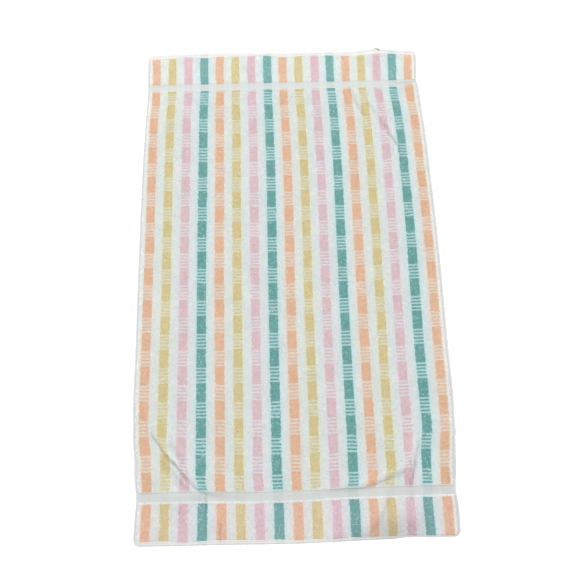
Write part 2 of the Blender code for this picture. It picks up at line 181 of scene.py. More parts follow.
creases = {
    # Ridges: height, and reach on the gentle side and on the steep one, mm; shares of the length over which
    # they rise and fade; how far the cloth beyond is pulled right and up, mm; path through (stripe, period)
    # points, with the steep side on its right hand
    "ridges": (
        (4.4, 42, 9, 0.30, 0.55, (7.0, 4.0),
         ((-0.4, 10.52), (0.72, 11.10), (1.05, 11.46), (1.66, 11.74), (2.12, 12.07), (2.55, 12.28),
          (3.1, 12.46), (3.9, 12.54), (5.0, 12.56), (6.5, 12.55))),
        (2.0, 22, 8, 0.35, 0.35, (0.0, 0.0),
         ((2.4, 12.54), (1.8, 12.25), (1.3, 11.92), (0.7, 11.64), (0.4, 11.34))),
        (3.1, 40, 11, 0.35, 0.25, (-7.0, 3.0),
         ((8.0, 12.53), (10.3, 12.46), (11.5, 12.44), (12.56, 12.28), (13.2, 12.18), (13.75, 12.06),
          (14.15, 11.8), (14.45, 11.35), (14.7, 10.7))),
        (3.6, 14, 9, 0.35, 0.30, (0.0, 0.0),
         ((14.22, 12.96), (14.16, 12.8), (14.1, 12.65), (14.08, 12.45), (14.15, 12.12), (14.32, 11.9),
          (14.36, 11.6), (14.45, 11.3))),
        (2.2, 15, 12, 0.20, 0.60, (0.0, 0.0),
         ((11.95, -0.25), (12.38, 0.2), (12.55, 0.55), (12.85, 0.85), (13.4, 1.1), (14.0, 1.25))),
        (3.0, 26, 8, 0.40, 0.30, (0.0, 0.0),
         ((13.3, 1.05), (14.05, 1.26), (14.27, 1.55), (14.45, 1.76), (14.7, 1.98), (14.88, 2.4),
          (14.95, 2.9))),
        (1.3, 14, 4, 0.30, 0.10, (0.0, 0.0), ((3.12, 13.8), (3.08, 13.2), (3.05, 12.8), (3.1, 12.5))),
        (1.6, 9, 5, 0.35, 0.15, (0.0, 0.0), ((14.9, -0.27), (15.6, -0.22), (16.2, -0.16), (16.62, -0.13))),
    ),
    "curveSpacing": 10 * mm,      # of the points between a ridge's own
    "pullEnds": 0.08,             # share of a ridge's length over which its pull sets in at either end
    "evenReach": 10 * mm,         # how softly a place belongs to the nearest part of a ridge
    "evenPower": 10,
    # The next three start with the stripe and period of the middle, and half sizes across and down, mm
    "tugs": ((16.3, 0.0, 36, 30, 1.8, 9.0),),     # then mm that the cloth is tugged right and up
    "swells": (                   # then height, mm
        (13.6, 13.20, 82, 34, 6.5),
        (16.2, 12.5, 30, 60, 3.0),
        (1.6, 12.75, 70, 34, 3.0),
        (8.6, 13.2, 60, 30, 2.0),
        (14.1, -1.38, 40, 26, 2.5),
    ),
    "shades": (                   # then the share of its colour's lightness that a patch loses as painted shade, or gains as painted light if it is below 0
        (12.9, 13.72, 78, 36, 0.20),
        (10.4, 13.80, 26, 34, 0.09),
        (14.6, 13.65, 26, 34, 0.06),
        (16.7, 12.05, 12, 34, 0.12),
        (16.7, 13.30, 12, 50, 0.07),
        (14.1, 13.60, 15, 26, 0.10),
        (16.2, 12.20, 14, 24, 0.07),
        (1.0, 12.68, 70, 12, 0.05),
        (2.6, 12.68, 22, 13, 0.11),
        (15.4, 12.56, 36, 8, 0.08),
        (2.0, 11.62, 13, 17, 0.08),
        (6.9, 12.34, 20, 13, -0.05),
        (15.3, 10.4, 14, 44, -0.04),
        (15.5, 11.7, 20, 26, -0.05),
        (11.2, 13.6, 20, 22, 0.05),
        (16.2, 8.6, 30, 260, -0.03),
        (0.7, 8.0, 34, 230, -0.02),
        (2.9, 13.2, 26, 30, -0.03),
        (6.8, 13.35, 24, 26, -0.03),
        (0.6, 13.7, 22, 16, 0.05),
        (4.3, 13.1, 22, 30, 0.02),
        (8.7, 13.0, 18, 30, 0.035),
    ),
    "rippleHeight": 0.45 * mm,    # faint unevenness all over
    "rippleWaves": 14,
    "rippleSpan": (55, 190),      # lengths of its waves, mm
    "rippleSeed": 4,
    # lines of painted shade along the creases' dark sides and the bands' edges, painted light where the
    # share is below 0, and a few small marks: half width, mm, then the share of the colour's lightness that
    # they lose, or gain if it is below 0, and their path
    "lines": (
        (3.4, 0.13, ((0.35, 10.85), (0.83, 11.34), (1.28, 11.57), (1.67, 11.85), (2.0, 12.05))),
        (8, 0.13, ((1.45, 11.72), (1.75, 11.86), (2.02, 12.02), (2.16, 12.16))),
        (9, 0.07, ((0.45, 10.95), (0.80, 11.28), (1.20, 11.54), (1.50, 11.74))),
        (10, 0.09, ((1.45, 11.15), (1.95, 11.6), (2.35, 12.05), (2.6, 12.35))),
        (16, -0.035, ((0.3, 11.6), (0.9, 12.0), (1.4, 12.35))),
        (8, 0.08, ((13.2, 0.5), (13.8, 1.1), (14.15, 1.5), (14.6, 2.05))),
        (8, 0.06, ((9.55, 0.3), (9.9, 0.65), (10.1, 0.95))),
        (9, 0.035, ((9.7, 1.7), (10.0, 2.3), (10.4, 3.1))),
        (9, 0.10, ((13.0, 12.8), (12.75, 13.1), (12.4, 13.4), (11.8, 13.7), (11.2, 13.75))),
        (9, 0.05, ((11.0, 12.55), (12.5, 12.30), (13.4, 12.1), (14.3, 11.8))),
        (4.2, 0.16, ((14.66, 11.38), (14.55, 11.75), (14.42, 12.02), (14.27, 12.28), (14.13, 12.49))),
        (2.6, 0.12, ((14.45, 11.9), (14.38, 12.1), (14.25, 12.35))),
        (5, -0.07, ((14.85, 11.7), (14.75, 12.0), (14.62, 12.3), (14.56, 12.46))),
        (8, 0.09, ((13.8, 12.06), (13.2, 12.18), (12.55, 12.36))),
        (2.2, 0.16, ((15.14, -0.27), (16.03, -0.17), (16.6, -0.12))),
        (3, -0.07, ((5.9, 12.52), (7.0, 12.52), (8.0, 12.52), (9.6, 12.52))),
        (2.6, 0.06, ((5.9, 12.79), (7.0, 12.79), (8.0, 12.79), (9.6, 12.79))),
        (1.8, 0.26, ((3.15, 12.52), (3.13, 12.8), (3.15, 13.0))),
        (2.2, 0.30, ((3.82, 13.30), (4.0, 13.36), (3.88, 13.46), (3.9, 13.58), (3.93, 13.76))),
        (2, 0.10, ((1.78, 12.88), (1.86, 12.94), (1.84, 13.01), (1.74, 13.05))),
        (2, -0.16, ((6.36, -1.32), (6.5, -1.26), (6.42, -1.18), (6.3, -1.22))),
    ),
    "lineSpacing": 3 * mm,        # of the points between a line's own
}


def acrossOf(stripe):
    return (stripe - cloth["middleStripe"]) * cloth["stripePitch"]


def smoothStep(value):
    value = np.clip(value, 0.0, 1.0)
    return value * value * (3 - 2 * value)


def hump(value):
    return 0.5 + 0.5 * np.cos(np.pi * np.minimum(np.abs(value), 1.0))


def between(places, values, at):
    # smooth curve through the listed values; each value may be a number or one number per point
    places = np.asarray(places, float)
    at = np.clip(at, places[0], places[-1])
    last = len(places) - 1
    k = np.clip(np.searchsorted(places, at, side="right") - 1, 0, last - 1)
    table = np.asarray([np.broadcast_to(value, np.shape(at)) for value in values], float)
    point = np.arange(np.size(at))
    gap = places[k + 1] - places[k]

    def value(i):
        return table[i, point]

    def slope(i):
        low, high = np.maximum(i - 1, 0), np.minimum(i + 1, last)
        return (value(high) - value(low)) / (places[high] - places[low]) * gap

    t = (at - places[k]) / gap
    start = value(k) + t * slope(k)
    end = value(k + 1) - (1 - t) * slope(k + 1)
    return start + (end - start) * smoothStep(t)


def curveThrough(points, spacing):
    points = [np.array(point, float) for point in points]
    ends = [2 * points[0] - points[1], *points, 2 * points[-1] - points[-2]]
    curve = []
    for before, start, end, after in zip(ends, ends[1:], ends[2:], ends[3:]):
        steps = max(2, round(float(np.linalg.norm(end - start)) / spacing))
        for k in range(steps):
            t = k / steps
            bend = 2 * before - 5 * start + 4 * end - after
            twist = 3 * start - before - 3 * end + after
            curve.append(start + 0.5 * ((end - before) * t + bend * t ** 2 + twist * t ** 3))
    curve.append(points[-1])
    return np.array(curve)


def clothCurve(path, spacing):
    points = [(acrossOf(stripe), -period * cloth["blockPeriod"]) for stripe, period in path]
    return curveThrough(points, spacing)


ridgeCurves = [clothCurve(row[-1], creases["curveSpacing"]) for row in creases["ridges"]]


def stretches(curve, across, down):
    # for each stretch of a curve: how far off a place is, on which hand, and its share of the way along
    for k, (start, end) in enumerate(zip(curve, curve[1:])):
        run = end - start
        t = np.clip(((across - start[0]) * run[0] + (-down - start[1]) * run[1]) / (run @ run), 0.0, 1.0)
        offX, offY = across - start[0] - run[0] * t, -down - start[1] - run[1] * t
        hand = np.where(run[0] * offY - run[1] * offX > 0, -1.0, 1.0)
        yield np.hypot(offX, offY), hand, (k + t) / (len(curve) - 1)


def alongCurve(curve, across, down):
    # distance from a curve, positive on its right hand, and the nearest point's share of the way along it
    nearest, side, share = np.full(len(across), 1e9), np.ones(len(across)), np.zeros(len(across))
    for far, hand, here in stretches(curve, across, down):
        closer = far < nearest
        nearest = np.where(closer, far, nearest)
        side = np.where(closer, hand, side)
        share = np.where(closer, here, share)
    return side * nearest, share


def evenedShare(curve, across, down):
    # the share of the way along as a soft mean over the stretches, so that it doesn't jump inside a bend
    total, weights = 0.0, 0.0
    for far, _, here in stretches(curve, across, down):
        weight = (creases["evenReach"] / (far + creases["evenReach"])) ** creases["evenPower"]
        total, weights = total + weight * here, weights + weight
    return total / weights


def riseAndFade(share, rise, fade):
    return smoothStep(share / rise) * smoothStep((1 - share) / fade)


def tableAt(places, rows, across, down):
    # a table's value at each place: its rows start with a period and have one value for each place across
    periods = [row[0] * cloth["blockPeriod"] for row in rows]
    here = [between(periods, [row[k + 1] for row in rows], down) for k in range(len(places))]
    return between(places, here, across)


def driftAt(across, down):
    half = cloth["halfWidth"]
    places = [-half, *(acrossOf(stripe) for stripe in cloth["driftStripes"]), half]
    return tableAt(places, cloth["drift"], across, down) * mm


def waveAt(across, down):
    places = [acrossOf(stripe) for stripe, _, _ in cloth["endWaves"]]
    top = between(places, [wave[1] for wave in cloth["endWaves"]], across)
    bottom = between(places, [wave[2] for wave in cloth["endWaves"]], across)
    nearTop = 1 - smoothStep((down - cloth["topEdge"]) / cloth["waveReach"])
    nearBottom = 1 - smoothStep((cloth["bottomEdge"] - down) / cloth["waveReach"])
    return (top * nearTop - bottom * nearBottom) * mm


def rolling(across, down, angle, phase, wave):
    return np.sin(math.tau * (across * math.cos(angle) + down * math.sin(angle)) / wave + phase)


def rippleAt(across, down):
    draw = np.random.default_rng(creases["rippleSeed"])
    total = np.zeros(len(across))
    for _ in range(creases["rippleWaves"]):
        angle, phase = draw.uniform(0, math.tau, 2)
        total += rolling(across, down, angle, phase, draw.uniform(*creases["rippleSpan"]) * mm)
    return creases["rippleHeight"] * np.clip(0.5 + total / (creases["rippleWaves"] / 2), 0, 1)


def mound(across, down, stripe, period, halfAcross, halfDown):
    offAcross = (across - acrossOf(stripe)) / (halfAcross * mm)
    offDown = (down - period * cloth["blockPeriod"]) / (halfDown * mm)
    return hump(np.hypot(offAcross, offDown))


def toneAt(across, down):
    # painted shade and painted light at each place, as a share of its own colour: the soft patches, then the
    # lines along the creases, with a few small marks
    tone = np.ones(len(across))
    for *patch, lost in creases["shades"]:
        tone *= 1 - lost * mound(across, down, *patch)
    for halfWidth, lost, path in creases["lines"]:
        distance, _ = alongCurve(clothCurve(path, creases["lineSpacing"]), across, down)
        tone *= 1 - lost * hump(distance / (halfWidth * mm))
    return tone


def laid(across, down):
    # where places on the cloth's underside lie, centred as the CAD is
    across, down = np.asarray(across, float), np.asarray(down, float)
    height, pulled = np.zeros(len(across)), np.zeros((len(across), 2))
    for (tall, gentle, steep, rise, fade, pull, _), curve in zip(creases["ridges"], ridgeCurves):
        gentle, steep = gentle * mm, steep * mm
        distance, share = alongCurve(curve, across, down)
        profile = hump(distance / np.where(distance > 0, steep, gentle))
        height = np.maximum(height, tall * mm * riseAndFade(share, rise, fade) * profile)
        if any(pull):
            beyond = smoothStep((distance + gentle / 2) / (gentle / 2 + steep))
            beyond *= riseAndFade(share, creases["pullEnds"], creases["pullEnds"])
            even = riseAndFade(evenedShare(curve, across, down), rise, fade)
            pulled += np.outer(beyond * even * mm, pull)
    for *patch, lift in creases["swells"]:
        height = np.maximum(height, lift * mm * mound(across, down, *patch))
    for *patch, right, up in creases["tugs"]:
        pulled += np.outer(mound(across, down, *patch) * mm, (right, up))
    x = across + driftAt(across, down) + pulled[:, 0] - cloth.get("centreX", 0.0)
    y = -down + waveAt(across, down) + pulled[:, 1] - cloth.get("centreY", 0.0)
    return np.stack([x, y, height + rippleAt(across, down)], 1)


def edgeInset(fromCorner):
    # how far a rounded corner draws an edge in, by the distance from the corner along that edge
    radius = cloth["cornerRadius"]
    short = np.clip(radius - fromCorner, 0.0, radius)
    return radius - np.sqrt(radius ** 2 - short ** 2)


def centreCloth():
    # the outline's middle goes to x = 0, y = 0, as in the CAD
    half, top, bottom = cloth["halfWidth"], cloth["topEdge"], cloth["bottomEdge"]
    radius, tall, wide = cloth["cornerRadius"], 900, 600     # so many places along the sides and the ends
    downs = np.linspace(top + radius, bottom - radius, tall)
    acrosses = np.linspace(-half + radius, half - radius, wide)
    left, right = laid(np.full(tall, -half), downs), laid(np.full(tall, half), downs)
    high, low = laid(acrosses, np.full(wide, top)), laid(acrosses, np.full(wide, bottom))
    cloth["centreX"] = float((left[:, 0].min() + right[:, 0].max()) / 2)
    cloth["centreY"] = float((low[:, 1].min() + high[:, 1].max()) / 2)


def upAt(across, down):
    # where places lie, and which way the cloth faces there
    step = 1.0 * mm
    here = laid(across, down)
    toRight = laid(across + step, down) - here
    toTop = laid(across, down - step) - here
    up = np.cross(toRight, toTop)
    return here, up / np.linalg.norm(up, axis=1)[:, None]


def sectionSpan(name):
    start = cloth["topEdge"]
    for section, length, _ in cloth["sections"]:
        if section == name:
            return start, start + length
        start += length


def inBands(down, step):
    # 1 in the two flat bands and 0 elsewhere, with a change that takes this far
    share = np.zeros(len(down))
    for name in ("topBand", "bottomBand"):
        start, end = sectionSpan(name)
        share += smoothStep((down - start) / step + 0.5) * smoothStep((end - down) / step + 0.5)
    return share


def topThickness(down):
    # the sheet's own thickness: flat bands are thinner than the ground that carries the loops
    return cloth["pileGround"] + (cloth["flat"] - cloth["pileGround"]) * inBands(down, cloth["step"])


centreCloth()
print("cloth centred by", round(cloth["centreX"], 6), round(cloth["centreY"], 6))


# Node helpers

def addNode(tree, kind, inputs=None, **settings):
    node = tree.nodes.new(kind)
    for name, value in settings.items():
        setattr(node, name, value)
    for socket, value in (inputs or {}).items():
        if isinstance(value, bpy.types.NodeSocket):
            tree.links.new(value, node.inputs[socket])
        else:
            node.inputs[socket].default_value = value
    return node


def valueOf(tree, kind, inputs, **settings):
    return addNode(tree, kind, inputs, **settings).outputs[0]


def maths(tree, operation, *values):
    return valueOf(tree, "ShaderNodeMath", dict(enumerate(values)), operation=operation)


def scaled(tree, vector, share):
    return valueOf(tree, "ShaderNodeVectorMath", {0: vector, 3: share}, operation="SCALE")


def joined(tree, *values):
    return valueOf(tree, "ShaderNodeCombineXYZ", dict(enumerate(values)))


def mixColours(tree, share, first, second):
    return addNode(tree, "ShaderNodeMix", {0: share, 6: first, 7: second}, data_type="RGBA").outputs[2]


def mixNumbers(tree, share, first, second):
    return valueOf(tree, "ShaderNodeMix", {0: share, 2: first, 3: second}, data_type="FLOAT")


def noiseIn(tree, place, scale, detail=1.0):
    return valueOf(tree, "ShaderNodeTexNoise", {"Vector": place, "Scale": scale, "Detail": detail})


def stored(tree, name, output="Vector"):
    # a value that is stored on the mesh
    return addNode(tree, "ShaderNodeAttribute", attribute_name=name).outputs[output]


def objectPlace(tree):
    return addNode(tree, "ShaderNodeTexCoord").outputs["Object"]


def newTree(kind, name, inputs, outputs):
    # a shader or geometry tree with these named sockets, its inputs and its outputs
    tree = bpy.data.node_groups.new(name, kind + "NodeTree")
    for way, sockets in (("INPUT", inputs), ("OUTPUT", outputs)):
        for title, socket in sockets.items():
            tree.interface.new_socket(title, in_out=way, socket_type="NodeSocket" + socket)
    return tree, tree.nodes.new("NodeGroupInput").outputs, tree.nodes.new("NodeGroupOutput").inputs


def useGroup(tree, group, inputs):
    return addNode(tree, "ShaderNodeGroup", inputs, node_tree=group).outputs


def fromScreen(red, green, blue):
    # 0 to 255 as a screen shows them, to the linear numbers that a shader takes
    parts = [value / 255 for value in (red, green, blue)]
    return (*(p / 12.92 if p <= 0.04045 else ((p + 0.055) / 1.055) ** 2.4 for p in parts), 1.0)


# Yarns and the woven pattern

yarns = {
    "white": fromScreen(233, 238.5, 236.5),
    "orange": fromScreen(238, 198.5, 165.5),
    "yellow": fromScreen(226.5, 211.5, 157),
    "pink": fromScreen(232, 206, 211),
    "teal": fromScreen(111, 179, 174),
}
hemWhite = fromScreen(236, 237, 235)
stripeOrder = ("orange", "yellow", "pink", "teal")
# how dye that has bled out tints the white beside a stripe: red, green and blue of it that are left
bleeds = {"orange": (1.05, 0.96, 0.90), "yellow": (1.01, 1.0, 0.88), "pink": (1.03, 0.96, 1.01),
          "teal": (0.82, 1.0, 1.03)}
# in the ladders: the dye in the white lines and in the coloured ones, and what has bled onto the white ones
ladders = {"orange": (0.30, 0.86, 0.5), "yellow": (0.35, 0.86, 0.5), "pink": (0.15, 1.0, 0.3),
           "teal": (0.24, 1.0, 1.0)}

pattern = {
    "halfStripe": 0.255,          # of the pitch, on the ground; then those of the loops' stripes
    "halfWidths": {"orange": 0.257, "yellow": 0.247, "pink": 0.247, "teal": 0.256},
    "ladderStart": 0.031,         # of the period, where the yellow and teal ladders begin
    "linePitch": 0.0502,          # of the period
    "lines": 9,
    "ladderWhite": 0.25,          # how much dye the ladders' white lines show on the ground under the loops
    "bleedReach": 0.23,           # of the pitch
    "bandShare": 0.13,            # how much of a stripe shows through the flat bands and hems
    "blocks": (-0.2, 12.6),       # periods between which there are blocks and ladders
    "firstLine": -0.055,          # the body's first coloured line of yellow and teal
    "lastLine": 12.475,           # below this the body ends in a white line
    "borderStart": 12.805,        # the bottom border opens with a white line
    "whiteLineDye": 0.04,         # how much dye these two white lines hold
    "borderDye": 0.90,            # the two end borders are dyed a little paler than the body
    "topPink": 1.14,              # but pink holds more dye in the top one
    "topTeal": 0.08,              # and teal holds less dye towards the top
    "tealFade": (1.0, 6.0),       # periods between which that wears off
    "borderTint": (1.035, 0.985, 1.01),     # the bottom border has yellowed a little
    "shiftEase": 20 * mm,         # how far from the body's ends the blocks are in their uneven places
}


def nearestStripe(across):
    # the stripe nearest to each place, and how far off its middle is, in pitches
    stripe = across / cloth["stripePitch"] + cloth["middleStripe"]
    nearest = np.clip(np.round(stripe), 0, 2 * cloth["middleStripe"])
    return nearest, np.abs(stripe - nearest)


def ofKind(values, kind):
    # each place's value from a table by yarn, with the yarns numbered as the stripes go
    return np.array([values[name] for name in stripeOrder])[kind]


def dyedShare(across, down):
    # a loop's share of its stripe's dye, how much has bled onto it, and which yarn the stripe has
    nearest, off = nearestStripe(across)
    period = down / cloth["blockPeriod"]
    odd = nearest % 2
    phase = (period - pattern["ladderStart"] - 0.5 * (1 - odd)) % 1.0
    line = np.floor(phase / pattern["linePitch"])
    inLadder = line < pattern["lines"]
    white = inLadder & (line % 2 == 0)
    body = (period > pattern["blocks"][0]) & (period < pattern["blocks"][1])
    opening = body & (odd == 1) & (period < pattern["ladderStart"])
    white = np.where(opening, period < pattern["firstLine"], white)
    white = body & (white | (period > pattern["lastLine"]))
    kind = nearest.astype(int) % len(stripeOrder)
    inWhite, inColour, bledOn = ofKind(ladders, kind).T
    dyed = np.where(white, inWhite, np.where(body & inLadder, inColour, 1.0))
    pale = (period > pattern["lastLine"]) & (period < pattern["borderStart"])
    dyed = np.where(pale, pattern["whiteLineDye"], np.where(body, dyed, pattern["borderDye"] * dyed))
    topPink = (period < 0) & ~body & (kind == stripeOrder.index("pink"))
    dyed = np.where(topPink, pattern["topPink"] * dyed, dyed)
    start, end = pattern["tealFade"]
    lost = pattern["topTeal"] * smoothStep((end - period) / (end - start))
    dyed = np.where(kind == stripeOrder.index("teal"), (1 - lost) * dyed, dyed)
    beyond = off - ofKind(pattern["halfWidths"], kind)
    bleed = np.where(beyond < 0, bledOn * white, np.clip(1 - beyond / pattern["bleedReach"], 0, 1)) * ~pale
    return np.where(beyond < 0, dyed, 0), bleed, kind


def unevenness(table, across, down):
    stripes, *rows = table
    return tableAt([acrossOf(stripe) for stripe in stripes], rows, across, down)


def patternPlace(across, down):
    # where a place on the cloth falls in the woven pattern
    start, end = sectionSpan("body")
    ease = pattern["shiftEase"]
    inBody = smoothStep((down - start) / ease) * smoothStep((end - down) / ease)
    drifted = across - unevenness(cloth["stripeDrift"], across, down) * mm
    shifted = down - unevenness(cloth["blockShift"], across, down) * cloth["blockPeriod"] * inBody
    return np.stack([drifted, shifted, np.zeros(len(across))], 1)


def buildStripeGroup():
    # the same pattern as shader nodes, for the ground cloth, its reverse and the bands
    colours = {name.capitalize(): "Color" for name in yarns}
    tree, given, result = newTree(
        "Shader", "wovenStripes", {"Place": "Vector", **colours, "Band Share": "Float"},
        {"Color": "Color", "Dye": "Color", "Near": "Float", "Flat": "Float"})
    calc = partial(maths, tree)
    split = addNode(tree, "ShaderNodeSeparateXYZ", {0: given["Place"]}).outputs
    stripe = calc("ADD", calc("DIVIDE", split[0], cloth["stripePitch"]), cloth["middleStripe"])
    nearest = calc("MINIMUM", calc("MAXIMUM", calc("ROUND", stripe), 0.0), 2.0 * cloth["middleStripe"])
    off = calc("ABSOLUTE", calc("SUBTRACT", stripe, nearest))
    inStripe = calc("LESS_THAN", off, pattern["halfStripe"])
    period = calc("DIVIDE", split[1], cloth["blockPeriod"])
    half = calc("MULTIPLY", calc("SUBTRACT", 1.0, calc("FLOORED_MODULO", nearest, 2.0)), 0.5)
    phase = calc("SUBTRACT", calc("SUBTRACT", period, pattern["ladderStart"]), half)
    line = calc("FLOOR", calc("DIVIDE", calc("FLOORED_MODULO", phase, 1.0), pattern["linePitch"]))
    even = calc("SUBTRACT", 1.0, calc("FLOORED_MODULO", line, 2.0))
    white = calc("MULTIPLY", calc("LESS_THAN", line, pattern["lines"]), even)
    white = calc("MAXIMUM", white, calc("GREATER_THAN", period, pattern["lastLine"]))

    def inSection(name):
        start, end = (edge / cloth["blockPeriod"] for edge in sectionSpan(name))
        return calc("MULTIPLY", calc("GREATER_THAN", period, start), calc("LESS_THAN", period, end))

    white = calc("MULTIPLY", white, inSection("body"))
    flat = calc("ADD", inSection("topBand"), inSection("bottomBand"))
    dyed = calc("SUBTRACT", 1.0, calc("MULTIPLY", white, 1 - pattern["ladderWhite"]))
    dyed = calc("MULTIPLY", mixNumbers(tree, flat, dyed, given["Band Share"]), inStripe)
    colour = given["Orange"]
    kind = calc("FLOORED_MODULO", nearest, float(len(stripeOrder)))
    for number, name in enumerate(stripeOrder[1:], 1):
        chosen = calc("COMPARE", kind, float(number), 0.1)
        colour = mixColours(tree, chosen, colour, given[name.capitalize()])
    shown = mixColours(tree, dyed, given["White"], colour)
    for socket, value in (("Color", shown), ("Dye", colour), ("Near", inStripe), ("Flat", flat)):
        tree.links.new(value, result[socket])
    return tree


finish = {
    "flatPaintedShade": 0.67,            # painted shade: plain weave takes the light more evenly than loops, so its colour is painted darker
    "patchScale": 17.0,
    "grainScale": 420.0,
    "roughness": (0.86, 0.12),    # the least, and how much the grain adds
    "groundPitch": 0.9 * mm,      # of the threads in the flat bands
    "hemPitch": 1.1 * mm,
    "reverseScale": 520.0,        # of the small loops underneath
    "bandRelief": 0.4,            # how far the flat bands stand up among them
    "strandScale": 1500.0,        # of the strands in a loop
    "twistScale": 900.0,          # of sewing thread
    # how strong the broad patches and the fine grain are, then the relief's strength and its depth
    "ground": (0.10, 0.10, 0.5, 0.25 * mm),
    "reverse": (0.10, 0.16, 0.8, 0.9 * mm),
    "loops": (0.10, 0.10, 0.7, 0.4 * mm),
    "hem": (0.08, 0.10, 0.6, 0.3 * mm),
}


def buildUnevenGroup():
    # the soft unevenness of washed cotton: broad patches and a fine grain
    tree, given, result = newTree(
        "Shader", "washedCotton",
        {"Color": "Color", "Place": "Vector", "Patches": "Float", "Grain": "Float"},
        {"Color": "Color", "Roughness": "Float"})
    calc = partial(maths, tree)
    broad = noiseIn(tree, given["Place"], finish["patchScale"], 2.0)
    fine = noiseIn(tree, given["Place"], finish["grainScale"])
    shift = calc("MULTIPLY", calc("SUBTRACT", broad, 0.5), given["Patches"])
    grain = calc("MULTIPLY", calc("SUBTRACT", fine, 0.5), given["Grain"])
    shown = scaled(tree, given["Color"], calc("ADD", 1.0, calc("ADD", shift, grain)))
    least, more = finish["roughness"]
    tree.links.new(shown, result["Color"])
    tree.links.new(calc("ADD", least, calc("MULTIPLY", fine, more)), result["Roughness"])
    return tree


def buildWeaveGroup():
    # over-and-under threads of plain weave, as a height from 0 to 1
    tree, given, result = newTree("Shader", "plainWeave", {"Place": "Vector", "Thread Pitch": "Float"},
                                  {"Height": "Float"})
    calc = partial(maths, tree)
    split = addNode(tree, "ShaderNodeSeparateXYZ", {0: given["Place"]}).outputs
    turn = calc("DIVIDE", math.pi, given["Thread Pitch"])
    warp, weft = (calc("SINE", calc("MULTIPLY", split[k], turn)) for k in (0, 1))
    over = calc("MULTIPLY", calc("MULTIPLY", warp, weft), 0.5)
    ribs = calc("MULTIPLY", calc("ABSOLUTE", warp), 0.5)
    tree.links.new(calc("ADD", over, ribs), result["Height"])
    return tree


stripeGroup = buildStripeGroup()
unevenGroup = buildUnevenGroup()
weaveGroup = buildWeaveGroup()


def newMaterial(name, roughness=0.9, sheen=0.25, specular=0.25):
    material = bpy.data.materials.new(name)
    material.use_nodes = True
    shader = material.node_tree.nodes["Principled BSDF"]
    values = {"Roughness": roughness, "Specular IOR Level": specular, "Sheen Weight": sheen,
              "Sheen Roughness": 0.5}
    for socket, value in values.items():
        shader.inputs[socket].default_value = value
    return material, material.node_tree, shader


def stripesIn(tree, place):
    colours = {name.capitalize(): colour for name, colour in yarns.items()}
    return useGroup(tree, stripeGroup, {"Place": place, "Band Share": pattern["bandShare"], **colours})


def weaveIn(tree, place, pitch):
    return useGroup(tree, weaveGroup, {"Place": place, "Thread Pitch": pitch})["Height"]


def bumpOf(tree, height, strength, depth):
    return valueOf(tree, "ShaderNodeBump", {"Height": height, "Strength": strength, "Distance": depth})


def asCotton(tree, shader, kind, colour, place, height):
    # gives a shader washed cotton of this colour, with this relief
    patches, grain, strength, depth = finish[kind]
    inputs = {"Color": colour, "Place": place, "Patches": patches, "Grain": grain}
    washed = useGroup(tree, unevenGroup, inputs)
    tree.links.new(washed["Color"], shader.inputs["Base Color"])
    tree.links.new(washed["Roughness"], shader.inputs["Roughness"])
    tree.links.new(bumpOf(tree, height, strength, depth), shader.inputs["Normal"])


def groundMaterial():
    # the woven ground: stripes under the loops, and the two flat bands with their plain weave
    material, tree, shader = newMaterial("groundCloth")
    place = stored(tree, "clothPlace")
    # the flat weave's colour is painted darker as shade, then takes the painted shade, painted light and
    # marks stored on the cloth
    plain = scaled(tree, stripesIn(tree, place)["Color"], finish["flatPaintedShade"])
    plain = scaled(tree, plain, stored(tree, "tone", "Fac"))
    asCotton(tree, shader, "ground", plain, place, weaveIn(tree, place, finish["groundPitch"]))
    return material


def reverseMaterial():
    # the underside: the same stripes with small loops as bump
    material, tree, shader = newMaterial("reverseLoops")
    place = stored(tree, "clothPlace")
    stripes = stripesIn(tree, place)
    cells = addNode(tree, "ShaderNodeTexVoronoi", {"Vector": place, "Scale": finish["reverseScale"]})
    loops = maths(tree, "SUBTRACT", 1.0, cells.outputs["Distance"])
    height = mixNumbers(tree, stripes["Flat"], loops, finish["bandRelief"])
    asCotton(tree, shader, "reverse", stripes["Color"], place, height)
    return material


def loopMaterial(name):
    # loops of one yarn, each with its own colour, which holds painted light and painted shade
    material, tree, shader = newMaterial(name + "Loops", sheen=0.30)
    strands = noiseIn(tree, objectPlace(tree), finish["strandScale"])
    asCotton(tree, shader, "loops", stored(tree, "loopColour", "Color"), stored(tree, "clothPlace"), strands)
    return material


def hemMaterial():
    # white tape-like plain weave of the turned hems
    material, tree, shader = newMaterial("turnedHem")
    place = stored(tree, "clothPlace")
    stripes = stripesIn(tree, place)
    tint = maths(tree, "MULTIPLY", stripes["Near"], pattern["bandShare"])
    # the painted shade stored on the hem darkens its white
    pale = scaled(tree, mixColours(tree, tint, hemWhite, stripes["Dye"]), stored(tree, "hemShade", "Fac"))
    asCotton(tree, shader, "hem", pale, place, weaveIn(tree, stored(tree, "hemPlace"), finish["hemPitch"]))
    return material


def threadMaterial(name, colour):
    # twisted thread, painted darker between its strands as shade
    material, tree, shader = newMaterial(name, roughness=0.7, sheen=0.1)
    inputs = {"Vector": objectPlace(tree), "Scale": finish["twistScale"], "Distortion": 1.0}
    twist = addNode(tree, "ShaderNodeTexWave", inputs, bands_direction="DIAGONAL").outputs["Fac"]
    # the colour of the painted shade between the strands
    strandShade = tuple(part * 0.8 for part in colour[:3]) + (1.0,)
    tree.links.new(mixColours(tree, twist, strandShade, colour), shader.inputs["Base Color"])
    tree.links.new(bumpOf(tree, twist, 0.5, 0.1 * mm), shader.inputs["Normal"])
    return material


materials = {name: loopMaterial(name) for name in yarns}
materials["ground"] = groundMaterial()
materials["reverse"] = reverseMaterial()
materials["hem"] = hemMaterial()
materials["thread"] = threadMaterial("sewingThread", fromScreen(236, 236, 232))
materials["looseThread"] = threadMaterial("looseThread", fromScreen(70, 70, 76))
print("materials:", len(materials))


# Mesh helpers

